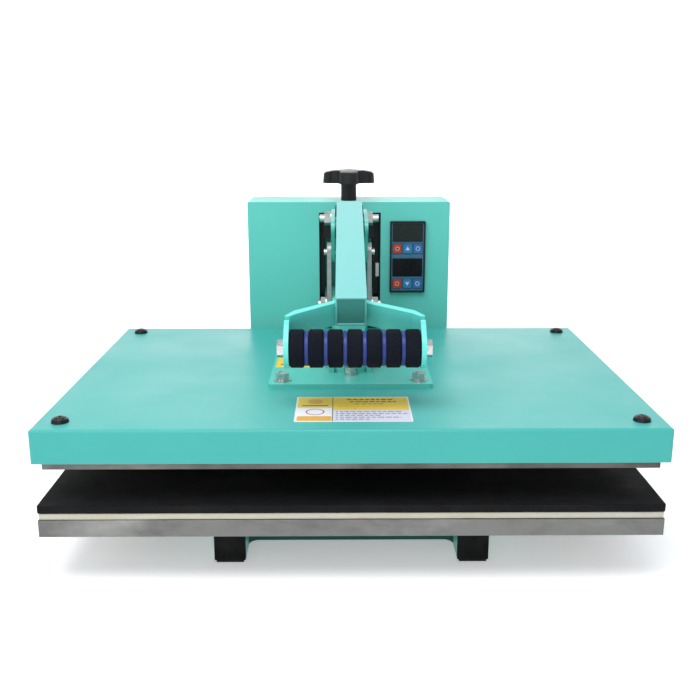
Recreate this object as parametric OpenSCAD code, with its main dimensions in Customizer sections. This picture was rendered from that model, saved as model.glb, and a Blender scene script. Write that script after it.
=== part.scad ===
// Clamshell heat press with a 600 x 400 mm heating platen, a toggle lever,
// a height screw and a digital controller.
// X runs to the right, Y to the back and Z up. Z = 0 is the bench. Y is written as the
// distance behind the front edge of the heater cover, and placed() moves it to the origin.

/* [Platens] */
// Width of the heating platen and of the pad
platen_w = 600; // [560:5:620]
// Depth of the heating platen and of the pad
platen_d = 400; // [380:5:410]
// Thickness of the heating platen
platen_t = 14; // [12:1:16]
// Gap between the pad and the heating platen with the press shut
gap = 31; // [29:1:40]
// How far the heater cover stands out past the platen at each side
cover_side = 7; // [6:1:10]
// How far the heater cover stands out past the platen at front and back
cover_lip = 11; // [8:1:12]
// Height of the heater cover
cover_h = 34; // [34:1:38]
// Sheet thickness of the covers
sheet = 1.6; // [1.2:0.2:2]
// Radius of the folded cover edges
cover_r = 3; // [3:1:6]

/* [Lower table] */
// Thickness of the silicone pad
pad_t = 8.3; // [6:0.1:10]
// Thickness of the felt under the pad
felt_t = 6.7; // [5:0.1:8]
// Thickness of the lower aluminium table
table_t = 17.4; // [16:0.2:20]

/* [Base frame] */
// Distance of each rail's middle from the machine's middle
rail_x = 125; // [120:1:140]
// Width of the square tubes of the base
rail_w = 32; // [30:1:36]
// Height of the square tubes of the base
rail_h = 48.6; // [44:0.2:50]
// Thickness of the rubber pads under the rails
foot_t = 2; // [2:0.5:4]
// Height of the side plates that carry the head
upright_h = 260; // [258:1:261]

/* [Head] */
// Width of the lever tube
lever_w = 32; // [30:1:32]
// Height of the lever's pivot above the bench
lever_pivot_z = 314; // [313:0.5:315]
// Thickness of the crank plates on the lever
crank_t = 4.5; // [4:0.5:6]
// Thickness of the toggle links
link_t = 5.4; // [4:0.2:5.6]
// Clearance hole of the open pivot at the lower end of the toggle links
open_r = 9.6; // [9.4:0.1:10]
// Width of the arm tube
arm_w = 36; // [34:1:36]
// Height of the arm tube
arm_h = 28; // [26:1:28]

/* [Handle] */
// Length of the foam grip
grip_l = 130; // [124:1:130]
// Radius of the foam grip
grip_r = 19.5; // [18:0.5:20]
// Number of foam rings on the grip
grip_rings = 7; // [5:1:9]
// Width of the spacers between the foam rings
spacer_w = 4.5; // [3:0.5:6]
// How far the handle stands to the right of the lever's middle
grip_x = 3.5; // [0:0.5:4]

/* [Control box] */
// Width of the control box
box_w = 278; // [270:2:300]
// Depth of the control box
box_d = 84; // [84:1:86]
// Height of the box's underside above the bench
box_z = 78; // [70:1:90]
// Height of the box's top above the bench
box_top = 329.5; // [329:0.5:332]
// Width of the slot that the arm moves in
slot_w = 85; // [84:1:86]
// Width of the controller
ctrl_w = 49; // [48:1:52]
// Height of the controller
ctrl_h = 99; // [96:1:102]

/* [Hidden] */
$fn = 64;
eps = 0.02;
run_fit = 0.06;

// Overall depth: from the table's front edge to the back of the rails
front_y = -5;
back_y = 545;
ref_y = (front_y + back_y) / 2;

// Heights of the lower stack
rail_top = foot_t + rail_h;
table_top = rail_top + table_t;
felt_top = table_top + felt_t;
pad_top = felt_top + pad_t;
platen_z = pad_top + gap;
cover_z = platen_z + 10;
cover_top = cover_z + cover_h;
cover_w = platen_w + 2 * cover_side;
cover_d = platen_d + 2 * cover_lip;
platen_y = cover_lip;

// Plane of the uprights and the carriage between them
upright_t = 7;
upright_x = 42;
upright_y = 448;
upright_d = 78;
upright_foot = 34;
foot_bolt_x = 64;
guide_y = [468, 508];
base_plate_t = 8;
base_plate_y = 425;
upright_top = rail_top + base_plate_t + upright_h;
slot_half = slot_w / 2;
slot_shift = 1.5;
box_r = 2;
slot_top = 315;
box_y = 445;
screw_y = 460;
screw_r = 6;
cheek_x = 34;
cheek_t = 7.6;
cheek_y = 456;

// Pivots, each as [distance behind the cover's front edge, height]
lever_pivot = [385, lever_pivot_z];
mid_pivot = [350, 275];
low_pivot = [345, 208];
arm_pivot = [495, 186];
float_pivot = [199, 186];
grip_pivot = [66, 220.5];
pivot_r = 5;
float_r = 6;
arm_pin_r = 10;
barrel_r = 17;

// Lever tube: it slopes down to the front
lever_front = [90, 267];
lever_slope = 15.6;
lever_l = 271;
tube_wall = 2;

// Crank plates stand just outside the lever tube
crank_x = arm_w / 2 + 0.2;
link_x = crank_x + crank_t + 0.3;

// Bracket on the cover
bracket_w = 179;
bracket_y = 133;
bracket_d = 156;
bracket_t = 5;
bracket_top = cover_top + bracket_t;
bracket_bolt_x = 75;
bracket_bolt_inset = 15;
level_bolt_y = 172;
cover_screw_x = 283;
cover_screw_inset = 25;
cover_gland_x = 200;

// Controller
ctrl_x = 81.3;
ctrl_z = 204.5;
ctrl_proud = 5;
ctrl_deep = 32;
panel_floor = 1.2;
display_w = 41;
display_h = 25;
key_w = 12;
key_h = 12.5;
key_travel = 1.2;
key_gap = 0.4;
key_pitch = 14.2;
rocker_tilt = 8;
upper_key_z = 266;
lower_key_z = 217;
upper_display_z = 288;
lower_display_z = 239.5;

// Fittings on the back panel, as [X, height]
inlet_at = [-90, 130];
inlet_body = [27, 31];
rocker_at = [-90, 175];
rocker_body = [27, 19];
lead_at = [90, 130];
fuse_at = [90, 175];
fuse_r = 6;
gland_r = 6.5;
cutout_gap = 0.4;
panel_t = 2;

// Nuts of the pivots
nut_across = 16;
nut_h = 8;

// Foot bolts and their holes
foot_bolt_y = [upright_y + 14, upright_y + upright_d - 14];
upright_foot_t = 7;
m8_hole_r = 4.2;
bracket_hole_r = 4.3;

steel = "silver";
black = "#1c1e20";
dark = "#26302f";
mint = "#7fd6cf";
green = "#5fb5a4";
blue = "#2b4f9a";

// ---- helpers -------------------------------------------------------------

module placed() {
    translate([0, -ref_y, 0])
        children();
}

module both_sides() {
    children();
    mirror([1, 0, 0])
        children();
}

// Cylinder along X from x to x + l, round the point p = [y, z]
module rod_x(x, l, r, p, sides = 64) {
    translate([x, p[0], p[1]])
        rotate([0, 90, 0])
            cylinder(h = l, r = r, $fn = sides);
}

// Prism along X from x to x + l with its outline drawn in Y and Z
module slab_x(x, l) {
    translate([x, 0, 0])
        rotate([90, 0, 90])
            linear_extrude(l)
                children();
}

// Strip between the outer tangents of two circles. Its corners sit a hair inside the
// circles, so that its sides cross them cleanly.
module tangent_strip_2d(p, rp, q, rq) {
    run = q - p;
    heading = atan2(run[1], run[0]);
    spread = acos((rp - rq) / norm(run));
    function at(c, r, a) = c + (r - eps) * [cos(a), sin(a)];
    polygon([
        at(p, rp, heading + spread), at(q, rq, heading + spread),
        at(q, rq, heading - spread), at(p, rp, heading - spread)
    ]);
}

module disc_2d(p, r) {
    translate(p)
        circle(r);
}

module tapered_bar_2d(p, rp, q, rq) {
    tangent_strip_2d(p, rp, q, rq);
    disc_2d(p, rp);
    disc_2d(q, rq);
}

// Triangular plate with three round corners
module three_lobe_2d(p, rp, q, rq, s, rs) {
    tangent_strip_2d(p, rp, q, rq);
    tangent_strip_2d(q, rq, s, rs);
    tangent_strip_2d(s, rs, p, rp);
    polygon([p, q, s]);
    disc_2d(p, rp);
    disc_2d(q, rq);
    disc_2d(s, rs);
}

module round_rect_2d(w, h, r) {
    square([w - 2 * r, h], center = true);
    square([w, h - 2 * r], center = true);
    for (x = [-1, 1], y = [-1, 1])
        translate([x * (w / 2 - r), y * (h / 2 - r)])
            circle(r, $fn = 48);
}

// Outline with round upper corners, standing on the X axis
module round_top_2d(w, h, r) {
    translate([-w / 2, 0])
        square([w, h - r]);
    translate([-w / 2 + r, 0])
        square([w - 2 * r, h]);
    for (x = [-1, 1])
        translate([x * (w / 2 - r), h - r])
            circle(r, $fn = 48);
}

// Block with folded-sheet edges: round upright corners and a round upper rim
module soft_block(w, d, h, r) {
    intersection() {
        linear_extrude(h)
            round_rect_2d(w, d, r);
        translate([0, d / 2, 0])
            rotate([90, 0, 0])
                linear_extrude(d)
                    round_top_2d(w, h, r);
        translate([-w / 2, 0, 0])
            rotate([90, 0, 90])
                linear_extrude(w)
                    round_top_2d(d, h, r);
    }
}

// Square tube along Y
module tube_y(w, h, l, wall) {
    difference() {
        translate([-w / 2, 0, 0])
            cube([w, l, h]);
        translate([-w / 2 + wall, -1, wall])
            cube([w - 2 * wall, l + 2, h - 2 * wall]);
    }
}

// Hexagon bolt along +Z: washer, spring washer, head and shank below
module flange_bolt(shank, across = 13, head = 5.3, r = 4, washer = 9) {
    difference() {
        union() {
            cylinder(h = 1.6, r = washer);
            cylinder(h = 3.8, r = r + 3.1);
            translate([0, 0, 3.8])
                cylinder(h = head, r = across / sqrt(3), $fn = 6);
        }
        // the split of the spring washer
        rotate([0, 0, 40])
            translate([r, -0.4, 1.6])
                cube([4, 0.8, 2.2]);
        // the maker's dish in the head
        translate([0, 0, 3.8 + head - 0.5])
            cylinder(h = 1, r = across / 2 - 2.2);
    }
    translate([0, 0, -shank])
        cylinder(h = shank, r = r);
}

// Hexagon head or nut along X, from x outwards by l
module hex_x(x, l, across, p) {
    rod_x(x, l, across / sqrt(3), p, 6);
}

// Cross-recessed screw on a cup washer, with its washer on Z = 0
module cup_screw(cup_r, head_r, shank, shank_r) {
    difference() {
        union() {
            rotate_extrude()
                polygon([
                    [0, 0], [cup_r, 0], [cup_r - 0.2, 0.8], [cup_r - 1, 3.4], [cup_r - 2, 4.1], [0, 4.1]
                ]);
            translate([0, 0, 4])
                rotate_extrude()
                    polygon([[0, 0], [head_r, 0], [head_r - 1, 0.9], [head_r - 2.4, 1.4], [0, 1.4]]);
        }
        for (a = [0, 90])
            rotate([0, 0, a])
                translate([-head_r * 0.55, -0.6, 3.2])
                    cube([head_r * 1.1, 1.2, 4]);
    }
    translate([0, 0, -shank])
        cylinder(h = shank, r = shank_r);
}

// The lever's own axes: origin on the upper front edge, Y along the tube
module on_lever() {
    translate([0, lever_front[0], lever_front[1]])
        rotate([lever_slope, 0, 0])
            children();
}

// The box face: origin on the face, X right, Y up and Z out to the front
module on_box_face(x, z) {
    translate([x, box_y, z])
        rotate([90, 0, 0])
            children();
}

// The back panel: origin on its outer face, X to the left, Y up and Z out to the back
module on_back(x, z) {
    translate([x, box_y + box_d, z])
        rotate([90, 0, 180])
            children();
}

// ---- base ----------------------------------------------------------------

module rail(side) {
    color(green)
        translate([side * rail_x, front_y + 49, foot_t])
            tube_y(rail_w, rail_h, back_y - front_y - 53, 2.5);
}

module rail_left() {
    rail(-1);
}

module rail_right() {
    rail(1);
}

module cross_tube(y) {
    l = 2 * rail_x - rail_w;
    color(green)
        difference() {
            translate([-l / 2, y, foot_t])
                cube([l, rail_w, rail_h]);
            translate([-l / 2 - 1, y + 2.5, foot_t + 2.5])
                cube([l + 2, rail_w - 5, rail_h - 5]);
        }
}

module cross_front() {
    y = 86;
    fillet = 10;
    inner = rail_x - rail_w / 2;
    cross_tube(y);
    // round weld plates in the corners between the cross tube and the rails
    color(green)
        both_sides()
            translate([inner - fillet, y - fillet, foot_t])
                difference() {
                    cube([fillet, fillet, rail_h]);
                    translate([0, 0, -1])
                        cylinder(h = rail_h + 2, r = fillet);
                }
}

module cross_rear() {
    cross_tube(480);
}

// Plastic plugs in both ends of both rails
module rail_plugs() {
    color(black)
        for (side = [-1, 1], rear = [false, true]) {
            face = rear ? back_y - 4 : front_y + 45;
            stub = rear ? -14 : 4;
            translate([side * rail_x, 0, foot_t + rail_h / 2]) {
                translate([0, face + 4, 0])
                    rotate([90, 0, 0])
                        linear_extrude(4)
                            round_rect_2d(rail_w, rail_h, 1.2);
                translate([-rail_w / 2 + 2.6, face + stub, -rail_h / 2 + 2.6])
                    cube([rail_w - 5.2, 14, rail_h - 5.2]);
            }
        }
}

module foot_pads() {
    color(black)
        for (side = [-1, 1], y = [front_y + 45, back_y - 50])
            translate([side * rail_x - rail_w / 2 + 2, y, 0])
                cube([rail_w - 4, 50, foot_t]);
}

module rear_base_plate() {
    w = 2 * rail_x + rail_w;
    color(green)
        difference() {
            translate([-w / 2, base_plate_y, rail_top])
                cube([w, back_y - 10 - base_plate_y, base_plate_t]);
            for (side = [-1, 1], y = foot_bolt_y)
                translate([side * foot_bolt_x, y, rail_top - 1])
                    cylinder(h = base_plate_t + 2, r = m8_hole_r);
        }
}

module lower_table() {
    color(steel)
        translate([-platen_w / 2 - 3, front_y, rail_top])
            cube([platen_w + 6, platen_d + 16, table_t]);
}

module table_sheet(z, t, grow, r) {
    translate([0, front_y + platen_d / 2 + 8, z])
        linear_extrude(t)
            round_rect_2d(platen_w + grow, platen_d + grow + 8, r);
}

module table_felt() {
    color("#e9e2cf")
        table_sheet(table_top, felt_t, 6, 2);
}

module press_pad() {
    color("#17191a")
        table_sheet(felt_top, pad_t, 8, 3);
}

// ---- uprights ------------------------------------------------------------

// Side plate with a foot that is bolted to the base plate and guide slots for the carriage
module upright() {
    foot_z = rail_top + base_plate_t;
    color(dark)
        difference() {
            union() {
                translate([upright_x, upright_y, foot_z])
                    cube([upright_t, upright_d, upright_h]);
                translate([upright_x, upright_y, foot_z])
                    cube([upright_foot, upright_d, upright_foot_t]);
            }
            // guide slot
            for (y = guide_y)
                slab_x(upright_x - 1, upright_t + 2)
                    tapered_bar_2d([y, 205], 5.2, [y, 285], 5.2);
            // holes for the foot bolts
            for (y = foot_bolt_y)
                translate([foot_bolt_x, y, foot_z - 1])
                    cylinder(h = upright_foot_t + 2, r = m8_hole_r);
        }
}

module upright_right() {
    upright();
}

module upright_left() {
    mirror([1, 0, 0])
        upright();
}

// Plate across the uprights that the pressure screw hangs from, just under the box's roof
module bridge_plate() {
    w = 2 * (upright_x + upright_t);
    t = box_top - sheet - upright_top;
    color(dark)
        difference() {
            translate([-w / 2, upright_y, upright_top])
                cube([w, upright_d - 2, t]);
            translate([0, screw_y, upright_top - 1])
                cylinder(h = t + 2, r = screw_r + run_fit);
        }
}

module upright_bolts() {
    color(steel)
        for (side = [-1, 1], y = foot_bolt_y)
            translate([side * foot_bolt_x, y, rail_top + base_plate_t + upright_foot_t])
                flange_bolt(14);
}

// ---- control box ---------------------------------------------------------

module box_outline_2d(inset) {
    translate([0, (box_z + box_top) / 2])
        round_rect_2d(box_w - 2 * inset, box_top - box_z - 2 * inset, max(box_r - inset, 0.4));
}

// Folded shell, open to the back, with the arm's slot through its face and its floor
module control_box() {
    floor_gap = upright_x + upright_t + 1.5;
    shell_d = box_d - panel_t - 0.2;
    color(mint)
        difference() {
            translate([0, box_y + shell_d, 0])
                rotate([90, 0, 0])
                    linear_extrude(shell_d)
                        box_outline_2d(0);
            translate([0, box_y + box_d, 0])
                rotate([90, 0, 0])
                    linear_extrude(box_d - sheet)
                        box_outline_2d(sheet);
            translate([slot_shift - slot_half, box_y - 1, box_z - 1])
                cube([slot_w, sheet + 2, slot_top - box_z + 1]);
            translate([-floor_gap, box_y + sheet, box_z - 1])
                cube([2 * floor_gap, box_d, sheet + 2]);
            // hole for the collar of the pressure screw
            translate([0, screw_y, box_top - sheet - 1])
                cylinder(h = sheet + 2, r = 9);
            // cut-out for the controller
            on_box_face(ctrl_x, ctrl_z + ctrl_h / 2)
                translate([0, 0, -3])
                    linear_extrude(6)
                        square([ctrl_w - 6, ctrl_h - 6], center = true);
        }
}

function panel_screws() = [
    for (x = [-1, 1], z = [box_z + 8, (box_z + box_top) / 2, box_top - 8]) [x * (box_w / 2 - 8), z]
];

module box_back_panel() {
    vents = 7;
    vent_x = 90;
    vent_l = 50;
    vent_pitch = 9;
    color(mint)
        difference() {
            translate([0, box_y + box_d, (box_z + box_top) / 2])
                rotate([90, 0, 0])
                    linear_extrude(panel_t)
                        round_rect_2d(box_w, box_top - box_z, box_r);
            // cooling slots
            for (side = [-1, 1], i = [0:vents - 1])
                translate([side * vent_x - vent_l / 2, box_y + box_d - panel_t - 1, 240 + i * vent_pitch])
                    cube([vent_l, panel_t + 2, 4]);
            // cut-outs for the inlet, the fuse and the switch
            for (fitting = [[inlet_at, inlet_body], [rocker_at, rocker_body]])
                on_back(fitting[0][0], fitting[0][1])
                    translate([0, 0, -panel_t - 1])
                        linear_extrude(panel_t + 2)
                            square(fitting[1] + [cutout_gap, cutout_gap], center = true);
            for (fitting = [[lead_at, gland_r], [fuse_at, fuse_r]])
                on_back(fitting[0][0], fitting[0][1])
                    translate([0, 0, -panel_t - 1])
                        cylinder(h = panel_t + 2, r = fitting[1] + 0.1);
            for (p = panel_screws())
                on_back(p[0], p[1])
                    translate([0, 0, -panel_t - 1])
                        cylinder(h = panel_t + 2, r = 1.6);
        }
}

module box_panel_screws() {
    color(steel)
        for (p = panel_screws())
            on_back(p[0], p[1])
                difference() {
                    union() {
                        cylinder(h = 1.8, r = 3.2);
                        translate([0, 0, -1.9])
                            cylinder(h = 2, r = 1.5);
                    }
                    for (a = [0, 90])
                        rotate([0, 0, a])
                            translate([-1.8, -0.35, 0.9])
                                cube([3.6, 0.7, 2]);
                }
}

// Relay on its heat sink in the left half of the box, terminal strip in the right half,
// and the limit switch beside the arm
module box_electrics() {
    strip_ways = 6;
    way_pitch = 9.5;
    strip = [60, 20, 18];
    relay = [45, 24, 60];
    relay_at = [-118, box_y + 3, 140];
    relay_slot = [9, 26, 5.5];
    sink_margin = [4, 8];
    limit_switch = [4.4, 7.3, 18];
    color("#e8e6e0") {
        translate(relay_at) {
            difference() {
                cube(relay);
                for (z = [-1, relay[2] - 4.5])
                    translate([relay[0] / 2 - 4.5, -1, z])
                        cube(relay_slot);
            }
            for (x = [9, relay[0] - 9], z = [12, relay[2] - 12])
                translate([x, relay[1], z])
                    rotate([-90, 0, 0])
                        cylinder(h = 3, r = 4);
        }
        translate([relay_at[0] - sink_margin[0], box_y + sheet + 0.1, relay_at[2] - sink_margin[1]])
            cube([relay[0] + 2 * sink_margin[0], 1.3, relay[2] + 2 * sink_margin[1]]);
        translate([upright_x - limit_switch[0] - 0.1, upright_y + 0.2, 226])
            difference() {
                cube(limit_switch);
                translate([-1, 2, 8])
                    cube([2, 3.3, 2]);
            }
        translate([60, box_y + box_d - 40, box_z + sheet + 0.1])
            difference() {
                cube(strip);
                for (i = [0:strip_ways - 1])
                    translate([6.5 + i * way_pitch, strip[1] / 2, strip[2] - 10])
                        cylinder(h = 12, r = 3);
            }
    }
}

// ---- controller ----------------------------------------------------------

// Places on the controller that the keys of one row take
module at_key(i, z) {
    on_box_face(ctrl_x + (i - 1) * key_pitch, z)
        children();
}

module controller_bezel() {
    color("#2a2d31")
        on_box_face(ctrl_x, ctrl_z + ctrl_h / 2)
            difference() {
                union() {
                    linear_extrude(ctrl_proud)
                        round_rect_2d(ctrl_w, ctrl_h, 1.5);
                    translate([0, 0, -ctrl_deep])
                        linear_extrude(ctrl_deep + eps)
                            square([ctrl_w - 7, ctrl_h - 7], center = true);
                }
                translate([0, 0, panel_floor])
                    linear_extrude(ctrl_proud)
                        round_rect_2d(ctrl_w - 4.5, ctrl_h - 4.5, 1);
            }
}

// Blue faceplate that fills the bezel, with openings for displays and keys
module controller_panel() {
    color(blue)
        difference() {
            on_box_face(ctrl_x, ctrl_z + ctrl_h / 2)
                translate([0, 0, panel_floor])
                    linear_extrude(2.6)
                        round_rect_2d(ctrl_w - 4.7, ctrl_h - 4.7, 0.9);
            for (z = [upper_key_z, lower_key_z], i = [0:2])
                at_key(i, z)
                    translate([0, 0, 0.8])
                        linear_extrude(5)
                            square([key_w + 2 * key_gap, key_h + 2 * key_gap], center = true);
            for (z = [upper_display_z, lower_display_z])
                on_box_face(ctrl_x, z)
                    translate([0, 0, 2])
                        linear_extrude(5)
                            square([display_w, display_h] + [cutout_gap, cutout_gap], center = true);
        }
}

module display(z) {
    on_box_face(ctrl_x, z)
        translate([0, 0, 2])
            linear_extrude(2.2)
                round_rect_2d(display_w, display_h, 1);
}

module upper_display() {
    color("#33383d")
        display(upper_display_z);
}

module lower_display() {
    color("#0d0f12")
        display(lower_display_z);
}

module key(i, z, tint) {
    color(tint)
        at_key(i, z)
            translate([0, 0, panel_floor + key_travel + 0.2])
                linear_extrude(2.6)
                    round_rect_2d(key_w, key_h, 1.2);
}

module key_red_upper() {
    key(0, upper_key_z, "#b8343c");
}

module key_pale_upper() {
    key(1, upper_key_z, "#8fb6dc");
}

module key_blue_upper() {
    key(2, upper_key_z, "#3c6cb4");
}

module key_red_lower() {
    key(0, lower_key_z, "#b8343c");
}

module key_pale_lower() {
    key(1, lower_key_z, "#8fb6dc");
}

module key_blue_lower() {
    key(2, lower_key_z, "#3c6cb4");
}

// ---- fittings on the back panel ------------------------------------------

// Rocker that turns on the pin across its frame, tilted to one side at rest
module switch_rocker() {
    color("#a8232a")
        on_back(rocker_at[0], rocker_at[1])
            rotate([rocker_tilt, 0, 0])
                slab_x(-9.5, 19)
                    difference() {
                        intersection() {
                            translate([0, -2.5])
                                circle(8.4);
                            translate([-7.6, -4])
                                square([15.2, 12]);
                        }
                        circle(1.5);
                        translate([0, 16.2])
                            circle(11.2);
                    }
}

module switch_frame() {
    color(black)
        on_back(rocker_at[0], rocker_at[1]) {
            difference() {
                union() {
                    linear_extrude(2)
                        round_rect_2d(31, 23, 2);
                    translate([0, 0, -16])
                        linear_extrude(16 + eps)
                            square(rocker_body, center = true);
                }
                translate([0, 0, -12])
                    linear_extrude(20)
                        square([19.4, 17], center = true);
            }
            translate([-10, 0, 0])
                rotate([0, 90, 0])
                    cylinder(h = 20, r = 1.45);
        }
}

// Inlet with three pins at the bottom of its socket
module mains_inlet() {
    color(black)
        on_back(inlet_at[0], inlet_at[1]) {
            difference() {
                union() {
                    linear_extrude(3)
                        round_rect_2d(32, 36, 3);
                    translate([0, 0, -25])
                        linear_extrude(25 + eps)
                            square(inlet_body, center = true);
                }
                translate([0, 0, -16])
                    linear_extrude(20)
                        round_rect_2d(23, 17, 3);
            }
            for (x = [-7, 0, 7])
                translate([x - 1, (x == 0 ? 2 : -2) - 2, -16.1])
                    cube([2, 4, 10]);
        }
}

module fuse_holder() {
    color(black)
        on_back(fuse_at[0], fuse_at[1])
            difference() {
                union() {
                    cylinder(h = 2, r = 9);
                    cylinder(h = 9, r = 6.5);
                    translate([0, 0, -26])
                        cylinder(h = 27, r = fuse_r);
                }
                translate([-5, -0.8, 7.6])
                    cube([10, 1.6, 3]);
            }
}

// Cable gland with its mouth along +Z and its lock nut inside the wall
module gland(wall) {
    difference() {
        union() {
            cylinder(h = 4, r = 10, $fn = 6);
            cylinder(h = 11, r = 7.5);
            translate([0, 0, -wall - 5])
                cylinder(h = wall + 6, r = gland_r);
            translate([0, 0, -wall - 4])
                cylinder(h = 4, r = 9, $fn = 6);
        }
        translate([0, 0, -wall - 6])
            cylinder(h = 30, r = 4);
    }
}

module box_lead_gland() {
    color(black)
        on_back(lead_at[0], lead_at[1])
            gland(panel_t);
}

// ---- pressure screw ------------------------------------------------------

knob_z = box_top + 25;

// Cross-shaped knob with four round lobes
module pressure_knob() {
    lobe_r = 13.5;
    knob_r = 35.5;
    stem_r = 10.7;
    color(black)
        translate([0, screw_y, knob_z]) {
            difference() {
                intersection() {
                    linear_extrude(18)
                        difference() {
                            union() {
                                for (a = [0:90:270])
                                    rotate(a)
                                        translate([knob_r - lobe_r, 0])
                                            circle(lobe_r);
                                circle(knob_r - lobe_r + 2);
                            }
                            for (a = [45:90:315])
                                rotate(a)
                                    translate([knob_r - 3.5, 0])
                                        circle(11);
                        }
                    rotate_extrude()
                        polygon([
                            [0, 0], [knob_r, 0], [knob_r - 1, 13], [knob_r - 4, 15.5],
                            [knob_r - 12, 17], [0, 18]
                        ]);
                }
                translate([0, 0, 14])
                    rotate_extrude()
                        polygon([[0, 5], [7, 5], [5.5, 2.6], [0, 2.6]]);
            }
            translate([0, 0, -knob_z + box_top + 1])
                difference() {
                    cylinder(h = knob_z - box_top - 1 + eps, r = stem_r);
                    translate([0, 0, -1])
                        cylinder(h = 4, r = screw_r + 0.5);
                }
        }
}

// Screw with the collar that it hangs by on the bridge plate
module pressure_screw() {
    bottom = 262;
    color(steel)
        translate([0, screw_y, 0]) {
            translate([0, 0, bottom])
                cylinder(h = box_top + 4 - bottom, r = screw_r);
            translate([0, 0, box_top - sheet + 0.1])
                cylinder(h = sheet + 0.9, r = 8);
        }
}

// ---- carriage ------------------------------------------------------------

module head_carriage() {
    block_z = 279;
    block_h = 26;
    block_y = 449;
    cheek_foot_z = 168;
    cheek_back = 518;
    color(dark)
        difference() {
            union() {
                // cheeks on both sides of the arm's hinge
                both_sides()
                    slab_x(cheek_x, cheek_t)
                        polygon([
                            [cheek_y, 200], [cheek_y + 18, cheek_foot_z], [cheek_back, cheek_foot_z],
                            [cheek_back, block_z + block_h], [cheek_y, block_z + block_h]
                        ]);
                // nut block between the cheeks
                translate([-cheek_x - 1, block_y, block_z])
                    cube([2 * cheek_x + 2, 48, block_h]);
                // neck and boss of the lever's pivot
                slab_x(-12, 24)
                    polygon([
                        [lever_pivot[0], 298], [block_y + 2, block_z + 2],
                        [block_y + 2, block_z + block_h], [lever_pivot[0], 330]
                    ]);
                rod_x(-17.9, 35.8, 17, lever_pivot);
                // guide studs in the uprights' slots
                both_sides()
                    for (y = guide_y)
                        rod_x(cheek_x, cheek_t + 6, 5, [y, 272]);
            }
            rod_x(-20, 40, pivot_r + run_fit, lever_pivot);
            rod_x(-50, 100, arm_pin_r, arm_pivot);
            translate([0, screw_y, block_z - 1])
                cylinder(h = block_h + 2, r = screw_r + run_fit);
        }
}

module arm_hinge_pin() {
    color(steel)
        rod_x(-cheek_x - cheek_t, 2 * (cheek_x + cheek_t), arm_pin_r, arm_pivot);
}

// ---- lever ---------------------------------------------------------------

// Square tube, closed by a plate set back in its front end
module lever_tube() {
    inner = lever_w - 2 * tube_wall;
    set_back = 1.5;
    color(mint)
        on_lever() {
            translate([0, 0, -lever_w])
                tube_y(lever_w, lever_w, lever_l, tube_wall);
            translate([-inner / 2 - eps, set_back, tube_wall - lever_w - eps])
                cube([inner + 2 * eps, 2, inner + 2 * eps]);
        }
}

// Plates that hang from the lever and carry its two pivots
module crank_plates() {
    tip = [300, 312];
    color(green) {
        both_sides()
            difference() {
                slab_x(crank_x, crank_t)
                    three_lobe_2d(lever_pivot, 12, mid_pivot, 13, tip, 9);
                rod_x(crank_x - 1, crank_t + 2, pivot_r, lever_pivot);
                rod_x(crank_x - 1, crank_t + 2, 4, mid_pivot);
            }
        // packing discs between the plates and the tube
        both_sides()
            for (p = [[316, 310], [338, 314]])
                rod_x(lever_w / 2, crank_x - lever_w / 2 + eps, 7, p);
    }
}

// Pivot bolt through the carriage's boss, and the pin of the toggle's middle joint
module lever_pins() {
    bolt_out = crank_x + crank_t;
    bolt_reach = 38.5;
    pin_out = link_x + link_t;
    color(steel) {
        rod_x(-bolt_reach, 2 * bolt_reach, pivot_r, lever_pivot);
        hex_x(bolt_out + 0.1, nut_h, nut_across, lever_pivot);
        rod_x(-bolt_out - 1.6, 1.5, 9.5, lever_pivot);
        hex_x(-bolt_out - nut_h - 1.6, nut_h, nut_across, lever_pivot);
        difference() {
            rod_x(-pin_out - 4, 2 * pin_out + 8, 4, mid_pivot);
            // grooves for the retaining rings
            both_sides()
                difference() {
                    rod_x(pin_out + 1.2, 1, 4.5, mid_pivot);
                    rod_x(pin_out + 1, 1.4, 3.3, mid_pivot);
                }
        }
    }
}

// Strap from the lever's sides round to the ears of the handle
module handle_yoke() {
    inner = grip_l / 2 + 0.5;
    t = 5;
    ear_top = [72, 236];
    ear_r = 12;
    color(mint)
        for (side = [-1, 1])
            difference() {
                union() {
                    on_lever()
                        translate([0, 0, -39])
                            linear_extrude(26)
                                polygon([
                                    [side * lever_w / 2, 14],
                                    [grip_x + side * (inner - 7), -9],
                                    [grip_x + side * inner, -15],
                                    [grip_x + side * (inner + t), -15],
                                    [grip_x + side * (inner + t), -13],
                                    [grip_x + side * (inner - 4), -2.5],
                                    [side * lever_w / 2, 21]
                                ]);
                    slab_x(grip_x + (side > 0 ? inner : -inner - t), t)
                        tapered_bar_2d(grip_pivot, grip_r, ear_top, ear_r);
                }
                rod_x(grip_x - 90, 180, pivot_r, grip_pivot);
            }
}

module handle_axle() {
    out = grip_l / 2 + 5.5;
    color(steel) {
        rod_x(grip_x - out - 4, 2 * out + 4, pivot_r, grip_pivot);
        hex_x(grip_x - out - 7, 6.9, nut_across, grip_pivot);
        hex_x(grip_x + out + 0.1, 6.4, nut_across, grip_pivot);
    }
}

module grip_core() {
    color(steel)
        difference() {
            rod_x(grip_x - grip_l / 2, grip_l, 12, grip_pivot);
            rod_x(grip_x - grip_l / 2 - 1, grip_l + 2, pivot_r + run_fit, grip_pivot);
            rod_x(grip_x - grip_l / 2 + 12, grip_l - 24, 9.5, grip_pivot);
        }
}

ring_w = (grip_l - (grip_rings - 1) * spacer_w) / grip_rings;

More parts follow.
